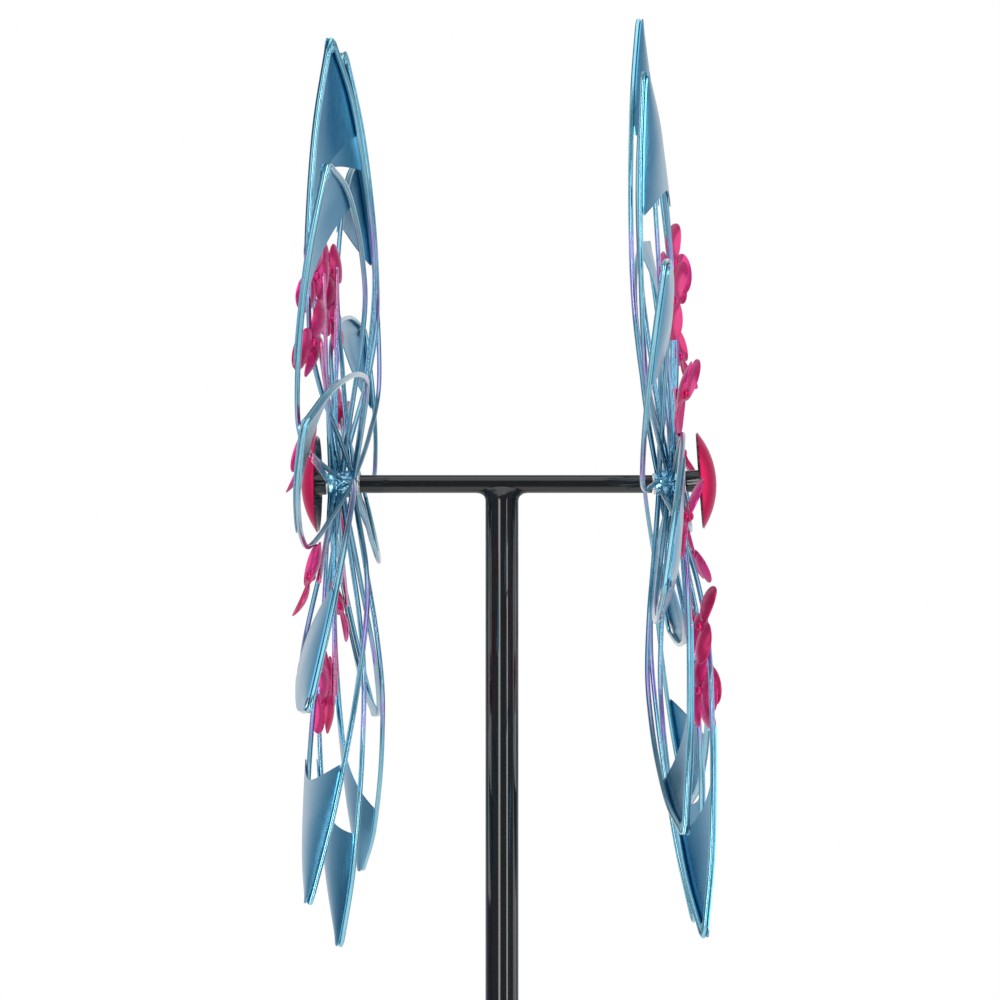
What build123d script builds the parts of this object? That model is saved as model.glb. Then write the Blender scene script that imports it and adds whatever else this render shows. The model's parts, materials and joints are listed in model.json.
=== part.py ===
from build123d import *
import math
import os

# A two-headed garden wind spinner, in millimetres. The pole stands on +Z with its step plate's underside
# on the ground at z = 0. The crossbar runs along X, with one rotor at each end, and -Y is the front.

# Stand
AXLE_HEIGHT = 1400.0
POLE_RADIUS = 11.0
POLE_WALL = 1.5
POLE_JOINTS = (470.0, 930.0)
COUPLER_LENGTH = 90.0
COUPLER_WALL = 2.0
SLIP = 0.05
BAR_RADIUS = 6.0
BAR_LEFT = -94.2
BAR_RIGHT = 99.6
POLE_TOP_DROP = 9.8
WELD_DROP = 11.0
WELD_SPREAD = 17.0
WELD_SKIN = 1.2
WELD_TOE = 0.2
WELD_TOE_RISE = 1.6
WELD_TOP_DROP = 1.0
SCREW_RADIUS = 2.0
SCREW_HEAD_RADIUS = 3.9
SCREW_HEAD_HEIGHT = 2.4
SCREW_LENGTH = 9.0
SCREW_OFFSET = 22.0

# Ground fixing
PLATE_SIDE = 116.0
PLATE_CORNER = 16.0
PLATE_THICKNESS = 4.0
SOCKET_HEIGHT = 90.0
SOCKET_WALL = 2.5
SPIKE_RADIUS = 6.0
SPIKE_DEPTH = 205.0
FORK_RADIUS = 4.0
FORK_DEPTH = 170.0
FORK_SPACING = 44.0
FORK_BEND = 14.0
POINT_LENGTH = 26.0
POINT_BLUNTNESS = 0.15
THUMB_BOLT_HEIGHT = 60.0
THUMB_BOLT_RADIUS = 3.0
THUMB_BOLT_REACH = 10.0
THUMB_HEAD_RADIUS = 8.0
THUMB_HEAD_WIDTH = 4.5

# Axle ends: a stub axle, two washers, a threaded end cap and the dome welded to it
STUB_RADIUS = 4.0
STUB_INSIDE_BAR = 24.0
WASHER_RADIUS = 7.0
WASHER_THICKNESS = 1.0
END_PLAY = 0.3
STUB_SHOULDER = 11.4
CAP_RADIUS = 7.2
CAP_CHAMFER = 0.8
CAP_THREAD_DEPTH = 8.0
LEFT_DOME_RIM_OUT = 16.7
RIGHT_DOME_RIM_OUT = 20.5
DOME_RIM_RADIUS = 32.25
DOME_DEPTH = 10.6
DOME_WALL = 1.2

# Rotor, in its own frame: spin axis on +Z pointing outboard, centre of the hub at the origin
# The left axle end is straight. The right one is bent where it leaves the bar, slightly forwards and up.
LEFT_AXLE_DIRECTION = (-1.0, 0.0, 0.0)
RIGHT_AXLE_DIRECTION = (1.0, -0.080, 0.072)
LEFT_REST_ANGLE = -24.0
RIGHT_REST_ANGLE = 8.0
HUB_RADIUS = 9.0
HUB_BACK = -9.4
HUB_SEAM = 3.4
HUB_FRONT = 9.4
FRONT_RING_RADIUS = 8.7
BUSH_RADIUS = 6.0
BUSH_LENGTH = 6.0
BUSH_CLEARANCE = 0.05
BLADES_PER_SET = 6
BACK_SET_Z = -7.0
FRONT_SET_Z = 0.8
SET_STAGGER = 30.0
WIRE_RADIUS = 1.65
LEAF_LENGTH = 301.0
LEAF_WIDTH = 107.0
LEFT_LEAF_PITCH = 19.0
RIGHT_LEAF_PITCH = 15.0
LEAF_TIP_RADIUS = 3.0
LEAF_TIP_HALF_ANGLE = 27.0
LEAF_ROOT_SPREAD = 2.7
# Stations of the leaf outline: fraction of its length, fraction of its half width
LEAF_STATIONS = (
    (0.10, 0.25), (0.20, 0.54), (0.30, 0.81), (0.42, 1.0), (0.58, 0.94), (0.71, 0.78), (0.86, 0.49))
WELD_GAP = 0.05

# Vanes: sheets welded on the outboard face of each leaf, over its outer part
VANE_THICKNESS = 0.8
VANE_OVERHANG = 1.0
VANE_LONG_EDGE = 138.0
VANE_SHORT_EDGE = 72.0

# Flowers: three cupped petals and a button on a hairpin stem, one in line with every leaf
STEM_RADIUS = 1.25
STEM_HALF_GAP = 1.35
BACK_STEM_Z = 8.2
FRONT_STEM_Z = 5.0
FLOWER_RADIUS = 144.0
FLOWER_PITCH = 20.0
BACK_FLOWER_TURN = 60.0
FRONT_FLOWER_TURN = 0.0
BUTTON_RADIUS = 3.4
BUTTON_LIFT = 5.8
PETALS_PER_FLOWER = 3
PETAL_LENGTH = 25.0
PETAL_WIDTH = 21.0
PETAL_CUP_RADIUS = 24.0
PETAL_THICKNESS = 0.8
PETAL_START = 4.4
PETAL_LIFT = 3.4
PETAL_RISE = 6.0


def along(axis_plane, radius, low, high):
    """A round bar on the plane's normal, from low to high along it."""
    bar = Cylinder(radius, high - low, align=(Align.CENTER, Align.CENTER, Align.MIN))
    return axis_plane * Pos(0, 0, low) * bar


def tube(axis_plane, outer, inner, low, high):
    return along(axis_plane, outer, low, high) - along(axis_plane, inner, low, high)


def write(name, *shapes):
    """One file for the node, holding every solid of the shapes given."""
    solids = [solid for shape in shapes for solid in shape.solids()]
    whole = solids[0] if len(solids) == 1 else Compound(children=solids)
    export_step(whole, os.path.join("parts", name + ".step"))


def hub_plane(bar_end, axle_direction):
    """A rotor's frame: +Z outboard along its axle end, +X upwards, origin between the two sets of leaves."""
    direction = Vector(*axle_direction).normalized()
    up = Vector(0, 0, 1)
    origin = Vector(bar_end, 0, AXLE_HEIGHT) + direction * STUB_SHOULDER
    return Plane(origin=origin, x_dir=up - direction * up.dot(direction), z_dir=direction)


def crossbar_plane():
    return Plane(origin=(0, 0, AXLE_HEIGHT), x_dir=(0, 0, 1), z_dir=(1, 0, 0))


# ---------------------------------------------------------------- stand

def screw(height):
    """A pan-head screw that enters the pole from behind."""
    plane = Plane(origin=(0, POLE_RADIUS, height), x_dir=(1, 0, 0), z_dir=(0, 1, 0))
    head = along(plane, SCREW_HEAD_RADIUS, 0, SCREW_HEAD_HEIGHT)
    head = fillet(head.edges().group_by(Axis.Y)[-1], SCREW_HEAD_HEIGHT / 2)
    return head + along(plane, SCREW_RADIUS, -SCREW_LENGTH, 0)


def screw_hole(height):
    plane = Plane(origin=(0, POLE_RADIUS, height), x_dir=(1, 0, 0), z_dir=(0, 1, 0))
    return along(plane, SCREW_RADIUS + SLIP, -SCREW_LENGTH - 1, SCREW_HEAD_HEIGHT)


def screw_heights():
    return [joint + side * SCREW_OFFSET for joint in POLE_JOINTS for side in (-1, 1)]


def pole_section(low, high):
    section = tube(Plane.XY, POLE_RADIUS, POLE_RADIUS - POLE_WALL, low, high)
    for height in screw_heights():
        if low < height < high:
            seat = Plane(origin=(0, POLE_RADIUS, height), x_dir=(1, 0, 0), z_dir=(0, 1, 0))
            # The screw head sits on a small flat pressed into the round tube.
            section -= screw_hole(height)
            section -= along(seat, SCREW_HEAD_RADIUS + SLIP, -SLIP, SCREW_HEAD_HEIGHT)
    return section


def coupler(joint):
    outer = POLE_RADIUS - POLE_WALL - SLIP
    half = COUPLER_LENGTH / 2
    body = tube(Plane.XY, outer, outer - COUPLER_WALL, joint - half, joint + half)
    for side in (-1, 1):
        body -= screw_hole(joint + side * SCREW_OFFSET)
    return body


def tee_weld(bar, pole):
    """The weld round the tee: a saddle that bridges from the pole's round top to the bar's flanks, and runs
    out along the bar's underside."""
    low, high = AXLE_HEIGHT - WELD_DROP, AXLE_HEIGHT - WELD_TOP_DROP
    flank = BAR_RADIUS + WELD_SKIN
    saddle = loft([
        Plane.XY.offset(low) * Circle(POLE_RADIUS + WELD_TOE),
        Plane.XY.offset(low + WELD_TOE_RISE) * Circle(POLE_RADIUS + WELD_SKIN),
        Plane.XY.offset(high) * Ellipse(POLE_RADIUS + WELD_SKIN, flank),
    ])
    runout = loft([
        Plane.XY.offset(low + WELD_TOE_RISE) * Ellipse(POLE_RADIUS + WELD_TOE, BAR_RADIUS - WELD_SKIN),
        Plane.XY.offset(AXLE_HEIGHT - BAR_RADIUS + WELD_SKIN) * Ellipse(WELD_SPREAD, BAR_RADIUS - WELD_SKIN),
    ])
    bore = along(Plane.XY, POLE_RADIUS - POLE_WALL, low - 1, AXLE_HEIGHT - POLE_TOP_DROP)
    return saddle + runout - bar - pole - bore


def rod_point(radius):
    """The blunt cone on a rod's lower end, standing on its tip."""
    return Cone(radius * POINT_BLUNTNESS, radius, POINT_LENGTH, align=(Align.CENTER, Align.CENTER, Align.MIN))


def pointed_rod(x, y, radius, depth):
    """A rod that hangs under the step plate and ends in a blunt point."""
    shank = along(Plane((x, y, 0)), radius, POINT_LENGTH - depth, 0)
    return shank + Pos(x, y, -depth) * rod_point(radius)


def fork(side):
    """A rod bent into a staple, with two pointed legs, welded under the step plate."""
    half, top = FORK_SPACING, -FORK_RADIUS - WELD_GAP
    knee = -FORK_DEPTH + POINT_LENGTH
    y = side * FORK_SPACING
    path = FilletPolyline(
        (-half, y, knee), (-half, y, top), (half, y, top), (half, y, knee), radius=FORK_BEND)
    rod = sweep(Plane(origin=(-half, y, knee), z_dir=(0, 0, 1)) * Circle(FORK_RADIUS), path=path)
    for x in (-half, half):
        rod += Pos(x, y, -FORK_DEPTH) * rod_point(FORK_RADIUS)
    return rod


def thumb_bolt():
    """The wing bolt that locks the pole in its socket, entering from behind."""
    seat = POLE_RADIUS + SLIP + SOCKET_WALL
    plane = Plane(origin=(0, seat, THUMB_BOLT_HEIGHT), x_dir=(1, 0, 0), z_dir=(0, 1, 0))
    shank = along(plane, THUMB_BOLT_RADIUS, -SOCKET_WALL - SLIP / 2, THUMB_BOLT_REACH)
    wing = plane * Pos(0, 0, THUMB_BOLT_REACH) * extrude(
        SlotOverall(4 * THUMB_HEAD_RADIUS, 2 * THUMB_HEAD_RADIUS), THUMB_HEAD_WIDTH)
    return shank + wing


def build_stand():
    bar_plane = crossbar_plane()
    bar = along(bar_plane, BAR_RADIUS, BAR_LEFT, BAR_RIGHT)
    left_stub = stub_axle(BAR_LEFT, LEFT_AXLE_DIRECTION)
    right_stub = stub_axle(BAR_RIGHT, RIGHT_AXLE_DIRECTION)
    upper = pole_section(POLE_JOINTS[1], AXLE_HEIGHT - POLE_TOP_DROP)
    write("crossbar", bar - left_stub - right_stub)
    write("left_stub_axle", left_stub)
    write("right_stub_axle", right_stub)
    write("upper_pole", upper)
    write("middle_pole", pole_section(*POLE_JOINTS))
    write("lower_pole", pole_section(PLATE_THICKNESS, POLE_JOINTS[0]))
    write("lower_coupler", coupler(POLE_JOINTS[0]))
    write("upper_coupler", coupler(POLE_JOINTS[1]))
    write("coupler_screws", *[screw(height) for height in screw_heights()])
    write("tee_weld", tee_weld(bar, upper))
    plate = extrude(RectangleRounded(PLATE_SIDE, PLATE_SIDE, PLATE_CORNER), PLATE_THICKNESS)
    write("step_plate", plate)
    bore, top = POLE_RADIUS + SLIP, PLATE_THICKNESS + SOCKET_HEIGHT
    socket = tube(Plane.XY, bore + SOCKET_WALL, bore, PLATE_THICKNESS, top)
    bolt = thumb_bolt()
    write("pole_socket", socket - bolt)
    write("thumb_bolt", bolt)
    write("ground_spike", pointed_rod(0, 0, SPIKE_RADIUS, SPIKE_DEPTH))
    write("ground_forks", fork(-1), fork(1))


# ---------------------------------------------------------------- axle ends

def stub_axle(bar_end, axle_direction):
    """The steel axle end: straight inside the crossbar, then along the rotor's own axis."""
    reach = HUB_FRONT + END_PLAY + WASHER_THICKNESS + CAP_THREAD_DEPTH
    outer = along(hub_plane(bar_end, axle_direction), STUB_RADIUS, -STUB_SHOULDER, reach)
    inner = bar_end - math.copysign(STUB_INSIDE_BAR, bar_end)
    held = along(crossbar_plane(), STUB_RADIUS, *sorted((inner, bar_end)))
    return outer + held + Pos(bar_end, 0, AXLE_HEIGHT) * Sphere(STUB_RADIUS)


def dome_sphere():
    return (DOME_RIM_RADIUS ** 2 + DOME_DEPTH ** 2) / (2 * DOME_DEPTH)


def dome(rim_out):
    """A thin pressed bowl that bulges outboard from its rim."""
    radius = dome_sphere()
    centre = rim_out + DOME_DEPTH - radius
    shell = Pos(0, 0, centre) * (Sphere(radius) - Sphere(radius - DOME_WALL))
    return shell & along(Plane.XY, DOME_RIM_RADIUS, rim_out, rim_out + DOME_DEPTH + 1)


def end_cap(rim_out):
    """The round nut that keeps the rotor on its axle; its outer end carries the dome."""
    start = HUB_FRONT + END_PLAY + WASHER_THICKNESS
    inner = dome_sphere() - DOME_WALL - WELD_GAP
    body = along(Plane.XY, CAP_RADIUS, start, rim_out + DOME_DEPTH)
    body = chamfer(body.edges().group_by(Axis.Z)[0], CAP_CHAMFER)
    body &= Pos(0, 0, rim_out + DOME_DEPTH - dome_sphere()) * Sphere(inner)
    return body - along(Plane.XY, STUB_RADIUS, start - 1, start + CAP_THREAD_DEPTH)


def washers():
    inner = STUB_RADIUS + SLIP
    back = HUB_BACK - END_PLAY
    front = HUB_FRONT + END_PLAY
    return (tube(Plane.XY, WASHER_RADIUS, inner, back - WASHER_THICKNESS, back),
            tube(Plane.XY, WASHER_RADIUS, inner, front, front + WASHER_THICKNESS))


# ---------------------------------------------------------------- rotor

def leaf_path(growth=0.0):
    """The leaf outline as edges in its own plane: +X from hub to tip, grown outwards by the amount given."""
    length, half = LEAF_LENGTH + growth, LEAF_WIDTH / 2 + growth
    tip_radius = LEAF_TIP_RADIUS + growth
    lean = math.radians(LEAF_TIP_HALF_ANGLE)
    tip_centre = length - tip_radius
    shoulder = (tip_centre + tip_radius * math.sin(lean), tip_radius * math.cos(lean))
    start = (HUB_RADIUS + WELD_GAP, LEAF_ROOT_SPREAD + growth)
    points = [start] + [(u * length, v * half) for u, v in LEAF_STATIONS] + [shoulder]
    upper = Spline(points, tangents=[(1, 0.25), (math.cos(lean), -math.sin(lean))])
    lower = mirror(upper, Plane.XZ).edge()
    tip = ThreePointArc(shoulder, (length, 0), (shoulder[0], -shoulder[1]))
    return upper, tip, lower


def blade_plane(azimuth, z, pitch):
    """A plane on a radius: +X along it, +Z out of its outboard face. Its -Y edge stands outboard."""
    a, p = math.radians(azimuth), math.radians(pitch)
    radial = Vector(math.cos(a), math.sin(a), 0)
    tangent = Vector(-math.sin(a), math.cos(a), 0)
    return Plane(origin=(0, 0, z), x_dir=radial, z_dir=Vector(0, 0, math.cos(p)) + tangent * math.sin(p))


def leaf_wire():
    """The bent wire of one leaf, both ends butted on the hub."""
    upper, tip, lower = leaf_path()
    path = Wire([upper, tip, lower])
    start = upper @ 0
    section = Plane(origin=start, z_dir=upper % 0) * Circle(WIRE_RADIUS)
    return sweep(section, path=path)


def vane_sheet():
    """The sheet over the leaf's outer part. Its inner edge is a quarter ellipse, which leaves the leaf's
    outboard edge along the leaf, as a long horn, and meets the other edge squarely."""
    upper, tip, lower = leaf_path(VANE_OVERHANG)
    face = make_face([upper, tip, lower, Line(upper @ 0, lower @ 0)])
    half = LEAF_WIDTH / 2 + VANE_OVERHANG
    long_end, short_end = LEAF_LENGTH - VANE_LONG_EDGE, LEAF_LENGTH - VANE_SHORT_EDGE
    centre, x_radius, y_radius = (long_end, half), short_end - long_end, 2 * half
    inner = EllipticalCenterArc(centre, x_radius, y_radius, start_angle=270, arc_size=90)
    beyond = LEAF_LENGTH + LEAF_WIDTH
    outside = Polyline((short_end, half), (beyond, half), (beyond, -half), (long_end, -half))
    face &= make_face([inner, *outside.edges()])
    low = WIRE_RADIUS + WELD_GAP
    return Pos(0, 0, low) * extrude(face, VANE_THICKNESS)


def stem():
    """A hairpin of wire along +X: both ends on the hub, its bend under the flower."""
    start = HUB_RADIUS + WELD_GAP
    bend = FLOWER_RADIUS
    near, far = (start, -STEM_HALF_GAP), (bend, -STEM_HALF_GAP)
    back, home = (bend, STEM_HALF_GAP), (start, STEM_HALF_GAP)
    path = Wire([Line(near, far), ThreePointArc(far, (bend + STEM_HALF_GAP, 0), back), Line(back, home)])
    return sweep(Plane(origin=near, z_dir=(1, 0, 0)) * Circle(STEM_RADIUS), path=path)


def petal(turn):
    """One cupped oval petal, hollow side outboard, in the flower's plane."""
    shell = Sphere(PETAL_CUP_RADIUS + PETAL_THICKNESS) - Sphere(PETAL_CUP_RADIUS)
    oval = extrude(Ellipse(PETAL_LENGTH / 2, PETAL_WIDTH / 2), -2 * PETAL_CUP_RADIUS)
    bowl = Pos(0, 0, PETAL_CUP_RADIUS + PETAL_THICKNESS) * (shell & oval)
    middle = PETAL_START + PETAL_LENGTH / 2
    return Rot(0, 0, turn) * Pos(middle, 0, PETAL_LIFT) * Rot(0, -PETAL_RISE, 0) * bowl


def flower_plane(azimuth, z):
    """The flower's plane, at the end of the stem that leaves the hub at z."""
    root = blade_plane(azimuth, z, FLOWER_PITCH)
    return Plane(origin=root.origin + root.x_dir * FLOWER_RADIUS, x_dir=root.x_dir, z_dir=root.z_dir)


def build_rotor(side, frame, rest_angle, pitch, dome_rim_out):
    """Writes the nodes of one rotor, with its end hardware, in the hub's frame."""
    def write_placed(name, *shapes):
        write(side + "_" + name, *[frame * shape for shape in shapes])

    bore = STUB_RADIUS + BUSH_CLEARANCE
    write_placed("washers", *washers())
    write_placed("end_cap", end_cap(dome_rim_out))
    write_placed("dome", dome(dome_rim_out))
    write_placed("hub_ring", tube(Plane.XY, HUB_RADIUS, BUSH_RADIUS, HUB_BACK, HUB_SEAM))
    write_placed("front_ring", tube(Plane.XY, FRONT_RING_RADIUS, BUSH_RADIUS, HUB_SEAM, HUB_FRONT))
    write_placed("bushes", tube(Plane.XY, BUSH_RADIUS, bore, HUB_BACK, HUB_BACK + BUSH_LENGTH),
                 tube(Plane.XY, BUSH_RADIUS, bore, HUB_FRONT - BUSH_LENGTH, HUB_FRONT))

    wire, sheet, one_stem = leaf_wire(), vane_sheet(), stem()
    petals = [petal(60.0 + turn * 360.0 / PETALS_PER_FLOWER) for turn in range(PETALS_PER_FLOWER)]
    button = Pos(0, 0, BUTTON_LIFT) * Sphere(BUTTON_RADIUS)
    vanes, stems, all_petals, buttons = [], [], [], []
    for index in range(BLADES_PER_SET):
        back_turn = rest_angle + index * 360.0 / BLADES_PER_SET
        front_turn = back_turn + SET_STAGGER
        for name, turn, leaf_z, stem_z, flower_turn in (
                ("back", back_turn, BACK_SET_Z, BACK_STEM_Z, BACK_FLOWER_TURN),
                ("front", front_turn, FRONT_SET_Z, FRONT_STEM_Z, FRONT_FLOWER_TURN)):
            leaf = blade_plane(turn, leaf_z, pitch)
            flower = flower_plane(turn, stem_z) * Rot(0, 0, flower_turn)
            write_placed(f"{name}_leaf_{index + 1}", leaf * wire)
            vanes.append(leaf * sheet)
            stems.append(Pos(0, 0, stem_z) * Rot(0, 0, turn) * one_stem)
            all_petals += [flower * one for one in petals]
            buttons.append(flower * button)
    write_placed("vanes", *vanes)
    write_placed("flower_stems", *stems)
    write_placed("flower_petals", *all_petals)
    write_placed("flower_buttons", *buttons)


os.makedirs("parts", exist_ok=True)
build_stand()
build_rotor("left", hub_plane(BAR_LEFT, LEFT_AXLE_DIRECTION), LEFT_REST_ANGLE, LEFT_LEAF_PITCH,
            LEFT_DOME_RIM_OUT)
build_rotor("right", hub_plane(BAR_RIGHT, RIGHT_AXLE_DIRECTION), RIGHT_REST_ANGLE, RIGHT_LEAF_PITCH,
            RIGHT_DOME_RIM_OUT)
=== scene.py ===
import json
import math

import bmesh
import bpy
from mathutils import Matrix, Vector, noise


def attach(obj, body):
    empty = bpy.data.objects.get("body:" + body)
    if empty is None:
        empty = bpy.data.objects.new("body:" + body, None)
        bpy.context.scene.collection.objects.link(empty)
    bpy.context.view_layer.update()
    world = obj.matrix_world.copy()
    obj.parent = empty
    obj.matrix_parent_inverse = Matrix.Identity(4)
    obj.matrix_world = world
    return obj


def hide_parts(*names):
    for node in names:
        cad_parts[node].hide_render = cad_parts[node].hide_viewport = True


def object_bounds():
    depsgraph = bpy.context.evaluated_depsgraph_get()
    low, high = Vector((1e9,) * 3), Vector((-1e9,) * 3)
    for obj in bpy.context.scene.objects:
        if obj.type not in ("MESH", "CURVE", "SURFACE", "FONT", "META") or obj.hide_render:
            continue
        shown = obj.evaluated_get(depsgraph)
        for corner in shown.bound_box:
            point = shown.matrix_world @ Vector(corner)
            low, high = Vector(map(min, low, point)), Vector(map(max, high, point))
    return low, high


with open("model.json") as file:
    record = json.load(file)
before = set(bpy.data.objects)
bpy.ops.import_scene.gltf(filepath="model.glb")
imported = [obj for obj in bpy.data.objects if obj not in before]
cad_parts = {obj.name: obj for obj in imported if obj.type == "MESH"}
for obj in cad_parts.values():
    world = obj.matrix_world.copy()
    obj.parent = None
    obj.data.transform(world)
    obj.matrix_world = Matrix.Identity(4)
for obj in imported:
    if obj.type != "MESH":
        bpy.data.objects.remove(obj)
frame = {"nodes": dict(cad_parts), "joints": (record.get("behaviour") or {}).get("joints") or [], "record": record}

CAD_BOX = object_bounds()

# ---------------------------------------------------------------- sizes, in metres

AXLE_HEIGHT = 1.4
POLE_RADIUS = 0.011
BAR_RADIUS = 0.006
# The tee's weld: its radius on the pole and on the bar, its drop under the axle, its reach along the bar,
# and the angle that it wraps round the bar
WELD_POLE_RADIUS, WELD_BAR_RADIUS = POLE_RADIUS * 1.008, BAR_RADIUS * 1.01
WELD_DROP, WELD_SPREAD, WELD_WRAP, WELD_RIPPLES = 0.0105, 0.0168, 78.0, 34

# A rotor in its own frame: +Z outboard along the spin axis, +X upwards, its origin on the axle
LEFT_REST_ANGLE, RIGHT_REST_ANGLE = -24.0, 8.0
HUB_RADIUS = 0.009
HUB_BACK, HUB_SEAM, HUB_FRONT = -0.0094, 0.0034, 0.0094
FRONT_RING_RADIUS = 0.0087
BORE_RADIUS = 0.00605
BLADES_PER_SET = 6
SET_STAGGER = 30.0
BACK_SET_Z, FRONT_SET_Z = -0.0070, 0.0008
WIRE_RADIUS = 0.00165
LEAF_LENGTH, LEAF_WIDTH = 0.301, 0.107
LEFT_LEAF_PITCH, RIGHT_LEAF_PITCH = 19.0, 15.0
LEAF_TIP_RADIUS = 0.003
LEAF_TIP_HALF_ANGLE = 27.0
LEAF_ROOT_SPREAD = 0.0027
# Stations of the leaf outline: fraction of its length, fraction of its half width
LEAF_STATIONS = (
    (0.10, 0.25), (0.20, 0.54), (0.30, 0.81), (0.42, 1.0), (0.58, 0.94), (0.71, 0.78), (0.86, 0.49))
# How each leaf was bent by hand, for the back and the front leaf of every pair: millimetres outboard and
# degrees round the hub at its tip, then degrees that add to its pitch
LEFT_BENDS = (
    ((-3.0, -4, 0), (8.8, 4, 1)), ((7.5, 0, -6), (1.0, 0, -4)), ((1.5, -5, -4), (-9.0, 0, -2)),
    ((1.8, 0, 2), (-1.7, 0, 1)), ((11.5, -2, 2), (-2.2, 0, -1)), ((4.8, -1, 0), (-10.2, 0, 1)))
RIGHT_BENDS = (
    ((9.0, 0, -6), (2.5, 0, -4)), ((13.0, -1, -3), (-1.5, 3, -2)), ((6.5, 3, 1), (0.5, 0, 3)),
    ((2.0, 0, 1), (-6.0, 0, 2)), ((-3.0, 0, -3), (1.5, 0, -3)), ((2.0, 0, -6), (2.0, 0, -4)))
BEND_START = 0.25
WIRE_POINTS = 70
# Spots of weld: half axes along the leaf, across it and through it
FOOT_WELD, FOOT_WELD_OUT = (0.0010, 0.0019, 0.0018), 0.0006
TIP_WELD, TIP_WELD_INSET, TIP_WELD_ROUGHNESS = (0.0030, 0.0019, 0.0016), 0.0022, 0.06
VANE_THICKNESS = 0.0008
VANE_OVERHANG = 0.001
VANE_LONG_EDGE, VANE_SHORT_EDGE = 0.138, 0.072
VANE_DISH = 0.0045
VANE_GAP = 0.00005
ARC_STEPS, LONG_EDGE_POINTS, SHORT_EDGE_POINTS = 120, 40, 26
# The dish is full where the leaf is wider than this, and is worked out no closer to the tip than this
DISH_FULL_REACH, DISH_LEAST_REACH, DISH_TIP_INSET = 0.03, 0.002, 0.004
STEM_RADIUS = 0.00125
STEM_HALF_GAP = 0.00135
BACK_STEM_Z, FRONT_STEM_Z = 0.0082, 0.0050
FLOWER_RADIUS = 0.144
FLOWER_PITCH = 20.0
BACK_FLOWER_TURN, FRONT_FLOWER_TURN = 60.0, 0.0
BUTTON_RADIUS = 0.0034
BUTTON_LIFT = 0.0058
PETALS_PER_FLOWER = 3
PETAL_LENGTH, PETAL_WIDTH = 0.0240, 0.0300
PETAL_START = 0.0024
PETAL_LIFT = 0.0034
PETAL_CUP = 0.0034
PETAL_RISE = 6.0
PETAL_NARROWING = 0.2
PETAL_THICKNESS = 0.0009
PETAL_SIDE_CUP, PETAL_RIM = 0.7, 1.012

# Axle ends, along the rotor's +Z
CAP_START, CAP_RADIUS, CAP_CHAMFER, CAP_BORE = 0.0107, 0.0072, 0.0010, 0.0045
LEFT_DOME_RIM_OUT, RIGHT_DOME_RIM_OUT = 0.0167, 0.0205
DOME_RIM_RADIUS, DOME_DEPTH, DOME_WALL = 0.03225, 0.0106, 0.0012
DOME_RINGS, DOME_LEAST_RADIUS = 18, 0.0004

# ---------------------------------------------------------------- camera, floor and light

CAMERA_DISTANCE = 1.5
CAMERA_LENS = 81.4
CAMERA_OFFSET = (-0.0013, -0.0106)
CLIP_END = 50
FLOOR_SIZE = 5.0
FLOOR_GAP = 0.0005
STRIP_DISTANCE, STRIP_HEIGHT, STRIP_LENGTH = 1.9, 1.15, 2.2
STUDIO_STRENGTH, FILL_STRENGTH = 0.85, 0.7
WHITE = (1, 1, 1, 1)


def set_camera():
    camera = bpy.data.objects.new("camera", bpy.data.cameras.new("camera"))
    bpy.context.scene.collection.objects.link(camera)
    camera.data.lens = CAMERA_LENS
    camera.data.clip_end = CLIP_END
    camera.location = (CAMERA_OFFSET[0], -CAMERA_DISTANCE, AXLE_HEIGHT + CAMERA_OFFSET[1])
    camera.rotation_euler = (math.radians(90), 0, 0)
    bpy.context.scene.camera = camera


def area_light(name, place, target, size, power, colour=(1.0, 1.0, 1.0)):
    light = bpy.data.lights.new(name, "AREA")
    light.shape, light.size, light.size_y = "RECTANGLE", size[0], size[1]
    light.energy, light.color = power, colour
    holder = bpy.data.objects.new(name, light)
    bpy.context.scene.collection.objects.link(holder)
    holder.location = place
    holder.rotation_euler = (Vector(target) - Vector(place)).to_track_quat("-Z", "Y").to_euler()
    holder.visible_camera = False


def polar(degrees, distance, height):
    """A place round the pole, by its angle from the front."""
    angle = math.radians(degrees)
    return (math.sin(angle) * distance, -math.cos(angle) * distance, height)


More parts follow.
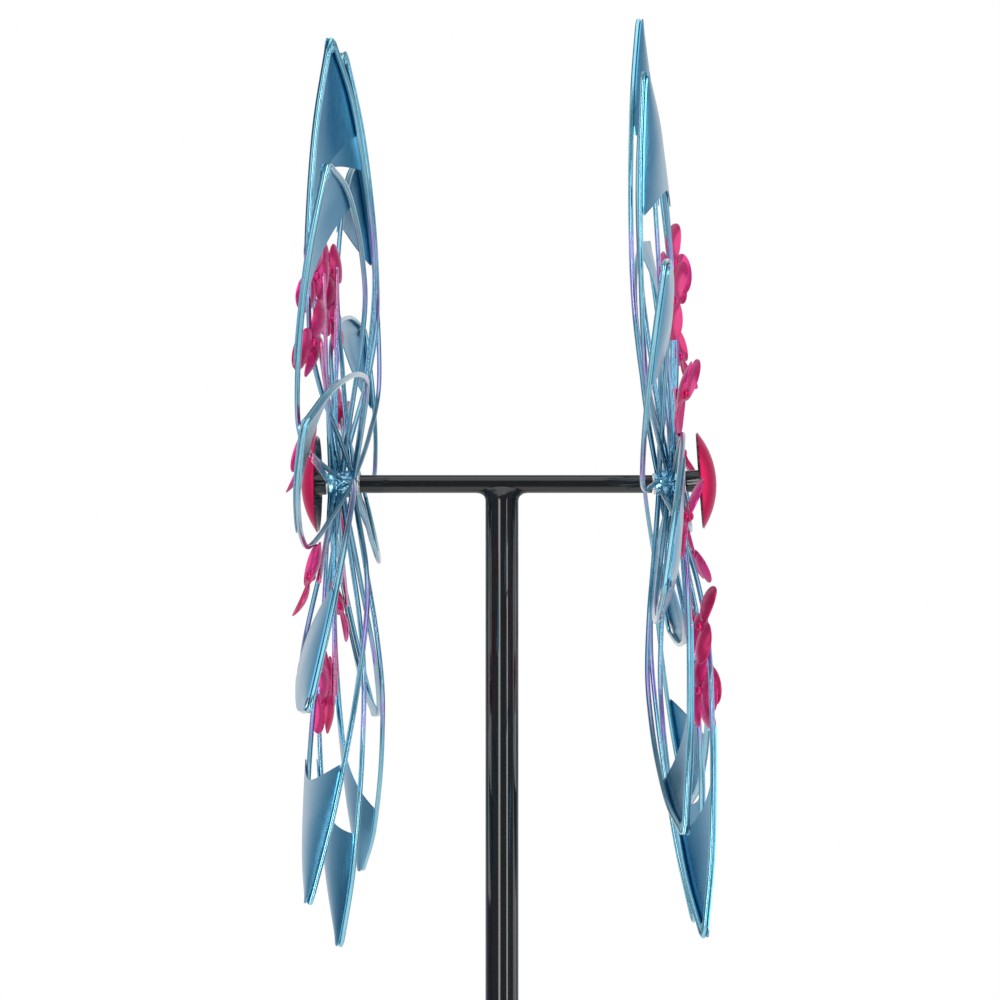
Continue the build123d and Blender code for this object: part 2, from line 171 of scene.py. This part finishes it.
def set_light():
    """Two narrow upright strips that draw lines on the pole, a top light, two side lights and a studio."""
    middle, strip_middle = (0, 0, AXLE_HEIGHT), (0, 0, STRIP_HEIGHT)
    area_light("strip_left", polar(-18, STRIP_DISTANCE, STRIP_HEIGHT), strip_middle, (0.42, STRIP_LENGTH), 21)
    area_light("strip_right", polar(36, STRIP_DISTANCE, STRIP_HEIGHT), strip_middle, (0.28, STRIP_LENGTH), 15)
    area_light("top", (0, -0.4, 3.0), middle, (2.6, 2.0), 26)
    area_light("side_left", polar(-95, 2.2, 1.7), middle, (1.4, 2.0), 16)
    area_light("side_right", polar(100, 2.2, 1.5), middle, (1.4, 2.0), 16)

    world = bpy.data.worlds.new("studio")
    bpy.context.scene.world = world
    world.use_nodes = True
    net = Net(world.node_tree)
    direction = net.add("ShaderNodeTexCoord").outputs["Generated"]
    depth = net.add("ShaderNodeSeparateXYZ", {0: direction})
    # White behind the object, mid grey round the camera and darker at the sides, so that metal has edges to
    # show. Diffuse light comes from a plain white room, and the camera sees plain white.
    shade = net.ramp(net.remap(depth.outputs["Y"], -1, 1), [
        (0.0, "68747e"), (0.28, "93a2ad"), (0.40, "566772"), (0.56, "4c5e68"), (0.74, "7d919c"),
        (0.88, "c4d1d8"), (1.0, "ffffff")])
    studio = net.add("ShaderNodeBackground", {"Color": shade, "Strength": STUDIO_STRENGTH})
    fill = net.add("ShaderNodeBackground", {"Color": WHITE, "Strength": FILL_STRENGTH})
    plain = net.add("ShaderNodeBackground", {"Color": WHITE, "Strength": 1.0})
    path = net.add("ShaderNodeLightPath")
    filled = net.add("ShaderNodeMixShader", {
        0: path.outputs["Is Diffuse Ray"], 1: studio.outputs[0], 2: fill.outputs[0]})
    mixed = net.add("ShaderNodeMixShader", {
        0: path.outputs["Is Camera Ray"], 1: filled.outputs[0], 2: plain.outputs[0]})
    net.add("ShaderNodeOutputWorld", {"Surface": mixed.outputs[0]})
    bpy.context.scene.view_settings.view_transform = "Standard"


def set_floor():
    """A pale floor under the spike's point."""
    half, height = FLOOR_SIZE / 2, CAD_BOX[0][2] - FLOOR_GAP
    corners = [(-half, -half, height), (half, -half, height), (half, half, height), (-half, half, height)]
    mesh = bpy.data.meshes.new("floor")
    mesh.from_pydata(corners, [], [(0, 1, 2, 3)])
    floor = bpy.data.objects.new("floor", mesh)
    bpy.context.scene.collection.objects.link(floor)
    floor.data.materials.append(floor_material())


# ---------------------------------------------------------------- materials

def linear(code):
    """A linear colour from a six-digit sRGB code."""
    parts = [int(code[i:i + 2], 16) / 255 for i in (0, 2, 4)]
    return tuple(c / 12.92 if c <= 0.04045 else ((c + 0.055) / 1.055) ** 2.4 for c in parts) + (1.0,)


class Net:
    """A short way to write shader nodes."""

    def __init__(self, tree):
        self.tree = tree
        tree.nodes.clear()

    def add(self, kind, inputs=None, **settings):
        node = self.tree.nodes.new(kind)
        for key, value in settings.items():
            setattr(node, key, value)
        for key, value in (inputs or {}).items():
            if isinstance(value, bpy.types.NodeSocket):
                self.tree.links.new(value, node.inputs[key])
            else:
                node.inputs[key].default_value = value
        return node

    def place(self):
        return self.add("ShaderNodeTexCoord").outputs["Object"]

    def noise(self, scale, detail=3.0, vector=None):
        return self.add("ShaderNodeTexNoise", {
            "Vector": vector or self.place(), "Scale": scale, "Detail": detail}).outputs[0]

    def remap(self, value, low, high, to_low=0.0, to_high=1.0):
        return self.add("ShaderNodeMapRange", {
            "Value": value, "From Min": low, "From Max": high,
            "To Min": to_low, "To Max": to_high}).outputs[0]

    def maths(self, operation, a, b=0.0):
        return self.add("ShaderNodeMath", {0: a, 1: b}, operation=operation).outputs[0]

    def mix(self, factor, a, b):
        node = self.add("ShaderNodeMix", data_type="RGBA")
        for index, value in ((0, factor), (6, a), (7, b)):
            if isinstance(value, bpy.types.NodeSocket):
                self.tree.links.new(value, node.inputs[index])
            else:
                node.inputs[index].default_value = value
        return node.outputs[2]

    def ramp(self, value, stops):
        node = self.add("ShaderNodeValToRGB", {0: value})
        marks = node.color_ramp.elements
        while len(marks) < len(stops):
            marks.new(0.5)
        for mark, (position, code) in zip(marks, stops):
            mark.position, mark.color = position, linear(code)
        return node.outputs[0]

    def bump(self, height, strength, distance):
        return self.add("ShaderNodeBump", {
            "Height": height, "Strength": strength, "Distance": distance}).outputs[0]

    def from_axle(self):
        """The distance from the axle's line, in metres."""
        to_axle = (0, 0, -AXLE_HEIGHT)
        shifted = self.add("ShaderNodeVectorMath", {0: self.place(), 1: to_axle}, operation="ADD")
        flat = self.add("ShaderNodeVectorMath", {0: shifted.outputs[0], 1: (0, 1, 1)}, operation="MULTIPLY")
        return self.add("ShaderNodeVectorMath", {0: flat.outputs[0]}, operation="LENGTH").outputs["Value"]


def material(name, build):
    made = bpy.data.materials.new(name)
    made.use_nodes = True
    net = Net(made.node_tree)
    shader = net.add("ShaderNodeBsdfPrincipled", build(net))
    net.add("ShaderNodeOutputMaterial", {"Surface": shader.outputs[0]})
    return made


def wire_look(near, middle, far, zone):
    """Candy-coated bright wire: colour by the distance from the axle, a little uneven along the wire."""
    def build(net):
        reach = net.remap(net.from_axle(), zone[0], zone[1])
        drift = net.maths("ADD", reach, net.remap(net.noise(18.0, 2.0), 0.3, 0.7, -0.12, 0.12))
        coat = net.ramp(drift, [
            (0.0, near[0]), (0.35, near[1]), (0.5, middle), (0.65, far[0]), (1.0, far[1])])
        thin = net.remap(net.noise(42.0, 2.0), 0.35, 0.75, 0.0, 0.22)
        return {"Base Color": net.mix(thin, coat, linear("b4e2ee")), "Metallic": 0.9,
                "Roughness": net.remap(net.noise(90.0, 2.0), 0.3, 0.7, 0.2, 0.26),
                "Coat Weight": 0.8, "Coat IOR": 2.0, "Coat Roughness": 0.06}
    return build


def vane_look(net):
    """Satin metallic steel blue with a faint rolling grain."""
    grain = net.add("ShaderNodeMapping", {"Vector": net.place(), "Scale": (1, 1, 0.12)}).outputs[0]
    streaks = net.noise(700.0, 2.0, grain)
    clouds = net.remap(net.noise(9.0, 2.0), 0.3, 0.7)
    tone = net.mix(clouds, linear("2f86b0"), linear("4a9cc2"))
    return {"Base Color": net.mix(net.remap(streaks, 0.3, 0.7, 0.0, 0.12), tone, linear("9cc8d8")),
            "Metallic": 1.0, "Roughness": net.remap(streaks, 0.3, 0.7, 0.19, 0.25),
            "Normal": net.bump(streaks, 0.02, 0.0003), "Coat Weight": 0.15, "Coat Roughness": 0.2}


def petal_look(net):
    """Glossy magenta enamel over bright metal, redder in places."""
    clouds = net.remap(net.noise(26.0, 2.0), 0.3, 0.7)
    return {"Base Color": net.mix(clouds, linear("b00c48"), linear("c22a7c")), "Metallic": 0.5,
            "Roughness": net.remap(net.noise(180.0, 2.0), 0.3, 0.7, 0.24, 0.30),
            "Normal": net.bump(net.noise(400.0, 2.0), 0.02, 0.0004),
            "Specular IOR Level": 0.6, "Specular Tint": (1.0, 0.45, 0.75, 1.0),
            "Coat Weight": 0.12, "Coat Roughness": 0.08}


def dome_look(net):
    """Glossy crimson enamel."""
    clouds = net.remap(net.noise(22.0, 2.0), 0.3, 0.7)
    return {"Base Color": net.mix(clouds, linear("b4083e"), linear("c61852")), "Metallic": 0.6,
            "Roughness": net.remap(net.noise(160.0, 2.0), 0.3, 0.7, 0.26, 0.32),
            "Normal": net.bump(net.noise(380.0, 2.0), 0.02, 0.0004),
            "Specular IOR Level": 0.2, "Specular Tint": (1.0, 0.4, 0.7, 1.0)}


def enamel_look(dark, worn, gloss):
    """Black powder coat with a fine orange-peel skin and a little dust."""
    def build(net):
        dust = net.remap(net.noise(45.0, 5.0), 0.45, 0.75)
        return {"Base Color": net.mix(net.maths("MULTIPLY", dust, 0.3), linear(dark), linear(worn)),
                "Roughness": net.remap(net.noise(160.0, 3.0), 0.3, 0.7, gloss, gloss + 0.08),
                "Normal": net.bump(net.noise(500.0, 2.0), 0.015, 0.0003),
                "Specular IOR Level": 0.1, "Coat Weight": 0.9, "Coat Roughness": 0.04}
    return build


def steel_look(net):
    brushed = net.add("ShaderNodeMapping", {"Vector": net.place(), "Scale": (0.1, 1, 1)}).outputs[0]
    lines = net.noise(1500.0, 2.0, brushed)
    return {"Base Color": net.mix(lines, linear("a7abaf"), linear("d2d6d8")), "Metallic": 1.0,
            "Roughness": net.remap(lines, 0.3, 0.7, 0.22, 0.4), "Normal": net.bump(lines, 0.1, 0.0002)}


def nylon_look(net):
    return {"Base Color": net.mix(net.noise(120.0), linear("dcdcd4"), linear("eeeee8")),
            "Roughness": net.remap(net.noise(300.0), 0.3, 0.7, 0.45, 0.6), "Subsurface Weight": 0.1}


def floor_material():
    return material("floor", lambda net: {
        "Base Color": net.mix(net.noise(3.0, 4.0), linear("f2f2f2"), linear("f8f8f7")), "Roughness": 0.7,
        "Specular IOR Level": 0.1})


TEAL = (("2f82a4", "3a8cab"), ("4192ad", "57a6bc"))
LOOKS = {
    "leaf_wire": wire_look(TEAL[0], "7f6cc0", TEAL[1], (0.04, 0.25)),
    "stem_wire": wire_look(("37a0c6", "4a9dc6"), "8a78c4", ("c0509f", "d23a8c"), (0.03, 0.15)),
    # The hub's front ring: the wire's finish in one pale cyan all over, a painted highlight on the wire's own
    # metal
    "hub_bright": wire_look(("8fdcee", "8fdcee"), "8fdcee", ("8fdcee", "8fdcee"), (0.0, 1.0)),
    "vane_sheet": vane_look,
    "petal": petal_look,
    "dome": dome_look,
    "dome_back": enamel_look("08080a", "141416", 0.5),
    "black_enamel": enamel_look("050506", "0f1012", 0.5),
    "ground_steel": enamel_look("0c0c0d", "4a4744", 0.35),
    "bare_steel": steel_look,
    "bush": nylon_look,
}
MATERIALS = {}


def look(name):
    if name not in MATERIALS:
        MATERIALS[name] = material(name, LOOKS[name])
    return MATERIALS[name]


# ---------------------------------------------------------------- mesh tools

class Shape:
    """Vertices and faces that become one piece."""

    def __init__(self):
        self.points, self.faces, self.slots = [], [], []

    def rings(self, rows, slot=0, caps=(True, True)):
        """Closed rings of equal length joined into a skin, with a fan over each end that caps asks for."""
        start, size = len(self.points), len(rows[0])
        for row in rows:
            self.points += row
        for i in range(len(rows) - 1):
            for j in range(size):
                k = (j + 1) % size
                a, b = start + i * size, start + (i + 1) * size
                self.face((a + j, a + k, b + k, b + j), slot)
        for wanted, row, base, turned in ((caps[0], rows[0], start, True),
                                          (caps[1], rows[-1], start + (len(rows) - 1) * size, False)):
            if wanted:
                self.points.append(sum(row, Vector()) / size)
                middle = len(self.points) - 1
                for j in range(size):
                    pair = (base + j, base + (j + 1) % size)
                    self.face((middle, *(pair[::-1] if turned else pair)), slot)

    def face(self, corners, slot=0):
        self.faces.append(corners)
        self.slots.append(slot)

    def tube(self, path, radius, sides=14):
        """A round wire along the points, with rounded ends."""
        rows, side, last = [], None, len(path) - 1
        for i, point in enumerate(path):
            ahead = (path[min(i + 1, last)] - path[max(i - 1, 0)]).normalized()
            side = (ahead.orthogonal() if side is None else side - ahead * side.dot(ahead)).normalized()
            rows.append((point, ahead, side))
        out = []
        for point, ahead, side, shift, scale in end_rounding(rows, radius):
            other = ahead.cross(side)
            out.append([point + ahead * shift + (side * math.cos(a) + other * math.sin(a)) * radius * scale
                        for a in turns(sides)])
        self.rings(out)

    def lathe(self, place, profile, sides=72, slot=0, caps=(True, True)):
        """Turned on place's Z, from (height, radius) points."""
        self.rings([[place @ Vector((r * math.cos(a), r * math.sin(a), z)) for a in turns(sides)]
                    for z, r in profile], slot, caps)

    def blob(self, centre, axes, sides=14, levels=8, rough=0.0):
        """A lump with three half axes, such as a spot of weld."""
        rows = []
        for i in range(1, levels):
            t = math.pi * i / levels
            row = []
            for a in turns(sides):
                way = (axes[0] * math.cos(a) + axes[1] * math.sin(a)) * math.sin(t) - axes[2] * math.cos(t)
                bumps = 1 + rough * noise.noise((centre + way) * 900.0)
                row.append(centre + way * bumps)
            rows.append(row)
        self.rings(rows)


def turns(count):
    return [2 * math.pi * i / count for i in range(count)]


def end_rounding(rows, radius):
    """Each row's place, with extra rings that round off the first and last."""
    point, ahead, side = rows[0]
    for angle in (15, 40, 65):
        t = math.radians(angle)
        yield point, ahead, side, -radius * math.cos(t), math.sin(t)
    for row in rows:
        yield *row, 0.0, 1.0
    point, ahead, side = rows[-1]
    for angle in (65, 40, 15):
        t = math.radians(angle)
        yield point, ahead, side, radius * math.cos(t), math.sin(t)


def piece(name, shape, materials, body, slot, *replaced, sharp=40.0):
    """Makes the object, smooth except over sharp edges, and puts it on its body."""
    mesh = bpy.data.meshes.new(name)
    mesh.from_pydata([tuple(p) for p in shape.points], [], shape.faces)
    for index, face in enumerate(mesh.polygons):
        face.material_index = shape.slots[index]
    grid = bmesh.new()
    grid.from_mesh(mesh)
    bmesh.ops.remove_doubles(grid, verts=grid.verts, dist=1e-6)
    bmesh.ops.recalc_face_normals(grid, faces=grid.faces)
    for face in grid.faces:
        face.smooth = True
    for edge in grid.edges:
        if len(edge.link_faces) == 2:
            edge.smooth = edge.calc_face_angle() < math.radians(sharp)
    grid.to_mesh(mesh)
    grid.free()
    made = bpy.data.objects.new(name, mesh)
    bpy.context.scene.collection.objects.link(made)
    for one in materials:
        mesh.materials.append(look(one))
    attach(made, body)
    if replaced:
        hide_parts(*replaced)
    return made


def smooth_line(points, per_span):
    """A centripetal Catmull-Rom line through the points."""
    padded = [points[0] * 2 - points[1], *points, points[-1] * 2 - points[-2]]
    line = []
    for i in range(1, len(padded) - 2):
        a, b, c, d = padded[i - 1:i + 3]
        gaps = [max((q - p).length, 1e-9) ** 0.5 for p, q in ((a, b), (b, c), (c, d))]
        into = ((b - a) / gaps[0] - (c - a) / (gaps[0] + gaps[1]) + (c - b) / gaps[1]) * gaps[1]
        out = ((c - b) / gaps[1] - (d - b) / (gaps[1] + gaps[2]) + (d - c) / gaps[2]) * gaps[1]
        for step in range(per_span):
            t = step / per_span
            line.append(b * (2 * t ** 3 - 3 * t ** 2 + 1) + into * (t ** 3 - 2 * t ** 2 + t)
                        + c * (3 * t ** 2 - 2 * t ** 3) + out * (t ** 3 - t ** 2))
    line.append(points[-1].copy())
    return line


def resample(line, count):
    """The same line at count points, evenly spaced."""
    lengths = [0.0]
    for p, q in zip(line, line[1:]):
        lengths.append(lengths[-1] + (q - p).length)
    out, i = [], 0
    for step in range(count):
        want = lengths[-1] * step / (count - 1)
        while i < len(lengths) - 2 and lengths[i + 1] < want:
            i += 1
        share = (want - lengths[i]) / max(lengths[i + 1] - lengths[i], 1e-12)
        out.append(line[i].lerp(line[i + 1], min(max(share, 0.0), 1.0)))
    return out


# ---------------------------------------------------------------- rotor

def rotor_frame(side):
    """The rotor's own frame, from its joint."""
    joint = next(j for j in frame["joints"] if j["child"] == side + "_rotor")
    out = Vector(joint["axis"]).normalized()
    up = Vector((0, 0, 1))
    up = (up - out * up.dot(out)).normalized()
    turned = Matrix((up, out.cross(up), out)).transposed().to_4x4()
    return Matrix.Translation(joint["pos_m"]) @ turned


def blade_frame(azimuth, height, pitch):
    """A plane on a radius: +X along it, +Z out of its outboard face. Its -Y edge stands outboard."""
    return (Matrix.Translation((0, 0, height)) @ Matrix.Rotation(math.radians(azimuth), 4, "Z")
            @ Matrix.Rotation(math.radians(-pitch), 4, "X"))


def leaf_half(growth=0.0):
    """Half of the leaf's outline, from the hub to its tip, on the +Y side."""
    lean = math.radians(LEAF_TIP_HALF_ANGLE)
    radius = LEAF_TIP_RADIUS + growth
    centre = LEAF_LENGTH - LEAF_TIP_RADIUS
    start = Vector((HUB_RADIUS, LEAF_ROOT_SPREAD + growth, 0))
    stations = [Vector((u * LEAF_LENGTH, v * LEAF_WIDTH / 2 + growth, 0)) for u, v in LEAF_STATIONS]
    shoulder = Vector((centre + radius * math.sin(lean), radius * math.cos(lean), 0))
    line = smooth_line([start, *stations, shoulder], 10)
    for step in range(1, 7):
        angle = lean + (math.pi / 2 - lean) * step / 6
        line.append(Vector((centre + radius * math.sin(angle), radius * math.cos(angle), 0)))
    return line


def mirrored(line):
    return [Vector((p.x, -p.y, p.z)) for p in reversed(line)]


def hand_bend(out, swing, twist):
    """A leaf's bend by hand. Its pitch settles near the hub, and the rest grows towards its tip."""
    def bend(point):
        share = point.x / LEAF_LENGTH
        turned = Matrix.Rotation(math.radians(-twist) * min(share / BEND_START, 1.0), 3, "X") @ point
        turned = Matrix.Rotation(math.radians(swing) * min(share / BEND_START, 1.0), 3, "Z") @ turned
        return turned + Vector((0, 0, out / 1000)) * share ** 2
    return bend


def half_axes(place, sizes):
    """The three half axes of a blob that is turned as place is."""
    spin = place.to_3x3()
    return [spin @ Vector(v) for v in ((sizes[0], 0, 0), (0, sizes[1], 0), (0, 0, sizes[2]))]


def leaf_wire(place, hand):
    """The leaf's wire, with a spot of weld where each end meets the hub and one inside the tip."""
    shape = Shape()
    half = leaf_half()
    path = resample(half, WIRE_POINTS)[:-1] + resample(mirrored(half), WIRE_POINTS)
    shape.tube([place @ hand(p) for p in path], WIRE_RADIUS)
    for side in (-1, 1):
        foot = place @ Vector((HUB_RADIUS + FOOT_WELD_OUT, side * LEAF_ROOT_SPREAD, 0))
        shape.blob(foot, half_axes(place, FOOT_WELD))
    tip = place @ hand(Vector((LEAF_LENGTH - LEAF_TIP_RADIUS - TIP_WELD_INSET, 0, 0)))
    shape.blob(tip, half_axes(place, TIP_WELD), rough=TIP_WELD_ROUGHNESS)
    return shape


def vane_outline():
    """The vane's inner edge and its outer edge, from the long horn to the short one, with equal counts."""
    half = leaf_half(VANE_OVERHANG)
    long_x, short_x = LEAF_LENGTH - VANE_LONG_EDGE, LEAF_LENGTH - VANE_SHORT_EDGE
    wide = LEAF_WIDTH / 2 + VANE_OVERHANG
    arc = []
    for step in range(ARC_STEPS + 1):
        angle = math.radians(270 + 90 * step / ARC_STEPS)
        x = long_x + (short_x - long_x) * math.cos(angle)
        y = wide + 2 * wide * math.sin(angle)
        if abs(y) < half_at(half, x):
            arc.append(Vector((x, y, 0)))
    horn, corner = arc[0].x, arc[-1].x
    lower = [p for p in mirrored(half)[::-1] if p.x > horn]
    upper = [p for p in half if p.x > corner]
    outer = [arc[0], *resample([arc[0], *lower], LONG_EDGE_POINTS)[1:],
             *resample([*upper[::-1], arc[-1]], SHORT_EDGE_POINTS)[1:]]
    return resample(arc, len(outer)), outer


def half_at(half, x):
    """The outline's distance from the leaf's middle line at x."""
    for near, far in zip(half, half[1:]):
        if near.x <= x <= far.x and far.x > near.x:
            return near.y + (far.y - near.y) * (x - near.x) / (far.x - near.x)
    return 0.0


def vane_sheet(place, hand):
    """The dished sheet over the leaf's outer part. Its inner edge is a quarter ellipse, which leaves the
    outboard edge along the leaf and meets the other edge squarely."""
    half = leaf_half(VANE_OVERHANG)
    inner, outer = vane_outline()
    levels, low = 11, WIRE_RADIUS + VANE_GAP
    skins = []
    for height in (low, low + VANE_THICKNESS):
        skin = []
        for near, far in zip(inner, outer):
            row = []
            for level in range(levels):
                p = near.lerp(far, level / (levels - 1))
                reach = max(half_at(half, min(p.x, LEAF_LENGTH - DISH_TIP_INSET)), DISH_LEAST_REACH)
                dish = max(0.0, 1 - (p.y / reach) ** 2) * VANE_DISH * min(1.0, reach / DISH_FULL_REACH)
                row.append(place @ hand(p + Vector((0, 0, height + dish))))
            skin.append(row)
        skins.append(skin)
    shape = Shape()
    loops = [[row[a] for row in skins[0]] + [row[a] for row in reversed(skins[1])] for a in range(levels)]
    shape.rings(loops, caps=(False, False))
    closing_strips(shape, loops[0])
    closing_strips(shape, loops[-1])
    return shape


def closing_strips(shape, loop):
    """Closes a loop that runs out along one skin and back along the other."""
    start, size = len(shape.points), len(loop)
    shape.points += loop
    for i in range(size // 2 - 1):
        shape.face((start + i, start + i + 1, start + size - 2 - i, start + size - 1 - i))


def stem(place):
    """A hairpin of wire along +X: both ends on the hub, its bend under the flower."""
    steps, length = 30, FLOWER_RADIUS - HUB_RADIUS
    out = [Vector((HUB_RADIUS + length * i / steps, -STEM_HALF_GAP, 0)) for i in range(steps + 1)]
    bend = [Vector((FLOWER_RADIUS + STEM_HALF_GAP * math.sin(a), -STEM_HALF_GAP * math.cos(a), 0))
            for a in (math.pi * i / 8 for i in range(1, 8))]
    shape = Shape()
    shape.tube([place @ p for p in out + bend + mirrored(out)], STEM_RADIUS, 12)
    return shape


def add_petal(shape, place):
    """One cupped egg-shaped petal with a rounded rim, its narrow end at the flower's centre."""
    sides, rings = 40, 7
    rows = []
    def point(share, angle, height):
        x = share * math.cos(angle)
        y = share * math.sin(angle)
        narrow = 1 - PETAL_NARROWING * (1 - x) / 2
        sag = (x * x + PETAL_SIDE_CUP * y * y) * PETAL_CUP
        return place @ Vector((PETAL_LENGTH / 2 * x, PETAL_WIDTH / 2 * y * narrow, sag + height))
    for ring in range(1, rings + 1):
        rows.append([point(ring / rings, a, 0.0) for a in turns(sides)])
    rows.append([point(PETAL_RIM, a, PETAL_THICKNESS / 2) for a in turns(sides)])
    for ring in range(rings, 0, -1):
        rows.append([point(ring / rings, a, PETAL_THICKNESS) for a in turns(sides)])
    shape.rings(rows)


def flower(place):
    """Three cupped petals round a button."""
    shape = Shape()
    for index in range(PETALS_PER_FLOWER):
        turn = 60 + index * 360 / PETALS_PER_FLOWER
        spin = (Matrix.Rotation(math.radians(turn), 4, "Z")
                @ Matrix.Translation((PETAL_START + PETAL_LENGTH / 2, 0, PETAL_LIFT))
                @ Matrix.Rotation(math.radians(-PETAL_RISE), 4, "Y"))
        add_petal(shape, place @ spin)
    ball = half_axes(place, (BUTTON_RADIUS, BUTTON_RADIUS, BUTTON_RADIUS))
    shape.blob(place @ Vector((0, 0, BUTTON_LIFT)), ball, sides=28, levels=16)
    return shape


def ring_profile(low, high, outer, inner, edge=0.0006):
    """A closed ring section, with its outer corners eased."""
    ease = edge * 0.3
    return [(low, inner), (low, outer - edge), (low + ease, outer - ease), (low + edge, outer),
            (high - edge, outer), (high - ease, outer - ease), (high, outer - edge), (high, inner)]


def closed_ring(place, profile, sides=72):
    shape = Shape()
    shape.lathe(place, [*profile, profile[0]], sides, caps=(False, False))
    return shape


def end_cap(place, rim_out):
    """The round nut, with an eased inner corner; its outer end is welded inside the dome."""
    high = dome_height(CAP_RADIUS, rim_out) - DOME_WALL * 0.5
    edge, ease = CAP_CHAMFER, CAP_CHAMFER * 0.3
    shape = Shape()
    shape.lathe(place, [
        (CAP_START, CAP_BORE), (CAP_START, CAP_RADIUS - edge), (CAP_START + ease, CAP_RADIUS - ease),
        (CAP_START + edge, CAP_RADIUS), (high, CAP_RADIUS)])
    return shape


def dome_height(radius, rim_out):
    """The dome's outer surface: how far outboard it stands at a distance from its axis."""
    ball = (DOME_RIM_RADIUS ** 2 + DOME_DEPTH ** 2) / (2 * DOME_DEPTH)
    return rim_out + DOME_DEPTH - ball + math.sqrt(ball ** 2 - radius ** 2)


def dome(place, rim_out):
    """A thin pressed bowl that bulges outboard, coloured outside and black inside, with a rounded rim."""
    shape = Shape()
    rim = DOME_RIM_RADIUS - DOME_WALL * 0.5
    radii = [rim * math.sin(math.pi / 2 * i / DOME_RINGS) for i in range(DOME_RINGS, 0, -1)]
    inside = [(dome_height(r, rim_out) - DOME_WALL, max(r - DOME_WALL * 0.2, DOME_LEAST_RADIUS))
              for r in reversed(radii)]
    lip = [(rim_out + 0.0001, rim - 0.0002), (rim_out, rim + 0.0003), (rim_out + 0.0004, DOME_RIM_RADIUS)]
    outside = [(dome_height(r, rim_out), r) for r in radii]
    shape.lathe(place, [*inside, lip[0], lip[1]], 96, slot=1, caps=(True, False))
    shape.lathe(place, [lip[1], lip[2], *outside], 96, slot=0, caps=(False, True))
    return shape


def build_rotor(side, rest_angle, pitch, bends, rim_out):
    place, body = rotor_frame(side), side + "_rotor"
    number = 0
    hub = closed_ring(place, ring_profile(HUB_BACK, HUB_SEAM, HUB_RADIUS, BORE_RADIUS))
    piece(side + "_hub", hub, ["leaf_wire"], body, "leaf_wire", side + "_hub_ring")
    # The front ring's pale cyan is a painted highlight
    front = closed_ring(place, ring_profile(HUB_SEAM, HUB_FRONT, FRONT_RING_RADIUS, BORE_RADIUS))
    piece(side + "_hub_front", front, ["hub_bright"], body, "hub_bright", side + "_front_ring")
    for index in range(BLADES_PER_SET):
        back_turn = rest_angle + index * 360 / BLADES_PER_SET
        front_turn = back_turn + SET_STAGGER
        for name, turn, leaf_z, stem_z, flower_turn, bend in (
                ("back", back_turn, BACK_SET_Z, BACK_STEM_Z, BACK_FLOWER_TURN, bends[index][0]),
                ("front", front_turn, FRONT_SET_Z, FRONT_STEM_Z, FRONT_FLOWER_TURN, bends[index][1])):
            number += 1
            node = f"{side}_{name}_leaf_{index + 1}"
            hand, leaf = hand_bend(*bend), place @ blade_frame(turn, leaf_z, pitch)
            piece(f"{node}_wire", leaf_wire(leaf, hand), ["leaf_wire"], body, "leaf_wire", node)
            piece(f"{side}_vane_{number}", vane_sheet(leaf, hand), ["vane_sheet"], body, "vane_sheet",
                  side + "_vanes", sharp=50.0)
            piece(f"{side}_stem_{number}", stem(place @ blade_frame(turn, stem_z, 0.0)), ["stem_wire"], body,
                  "stem_wire", side + "_flower_stems")
            bloom = (place @ blade_frame(turn, stem_z, FLOWER_PITCH)
                     @ Matrix.Translation((FLOWER_RADIUS, 0, 0))
                     @ Matrix.Rotation(math.radians(flower_turn), 4, "Z"))
            piece(f"{side}_flower_{number}", flower(bloom), ["petal"], body, "petal",
                  side + "_flower_petals", side + "_flower_buttons")
    piece(side + "_cap", end_cap(place, rim_out), ["black_enamel"], "stand", "black_enamel",
          side + "_end_cap")
    piece(side + "_bowl", dome(place, rim_out), ["dome", "dome_back"], "stand", "dome", side + "_dome")


# ---------------------------------------------------------------- stand

def tee_weld():
    """The weld that carries the pole's round top up to the underside and flanks of the bar."""
    sides, levels = 96, 12
    rows = []
    for level in range(levels + 1):
        t = level / levels
        row = []
        for a in turns(sides):
            c, s = math.cos(a), math.sin(a)
            low = Vector((WELD_POLE_RADIUS * c, WELD_POLE_RADIUS * s, -WELD_DROP))
            wrap = math.radians(WELD_WRAP) * s
            high = Vector((
                WELD_SPREAD * c, WELD_BAR_RADIUS * math.sin(wrap), -WELD_BAR_RADIUS * math.cos(wrap)))
            bend = Vector((0.0114 * c, 0.0098 * s, -0.0064 + 0.0016 * abs(s)))
            p = low * (1 - t) ** 2 + bend * 2 * t * (1 - t) + high * t ** 2
            ripple = math.sin(a * WELD_RIPPLES + t * 3) * 0.00012 + noise.noise(p * 500) * 0.0003
            row.append(p + Vector((c, s, 0)) * ripple * math.sin(math.pi * t) + Vector((0, 0, AXLE_HEIGHT)))
        rows.append(row)
    shape = Shape()
    shape.rings(rows)
    piece("tee_weld_bead", shape, ["black_enamel"], "stand", "black_enamel", "tee_weld", sharp=80.0)


def paint_cad():
    """Every CAD node that stays takes the material that the record names."""
    slots = {part["node"]: part["material_slot"] for part in frame["record"]["subparts"]}
    for name, node in frame["nodes"].items():
        if not node.hide_render:
            node.data.materials.clear()
            node.data.materials.append(look(slots[name]))


set_camera()
set_light()
set_floor()
build_rotor("left", LEFT_REST_ANGLE, LEFT_LEAF_PITCH, LEFT_BENDS, LEFT_DOME_RIM_OUT)
build_rotor("right", RIGHT_REST_ANGLE, RIGHT_LEAF_PITCH, RIGHT_BENDS, RIGHT_DOME_RIM_OUT)
tee_weld()
paint_cad()
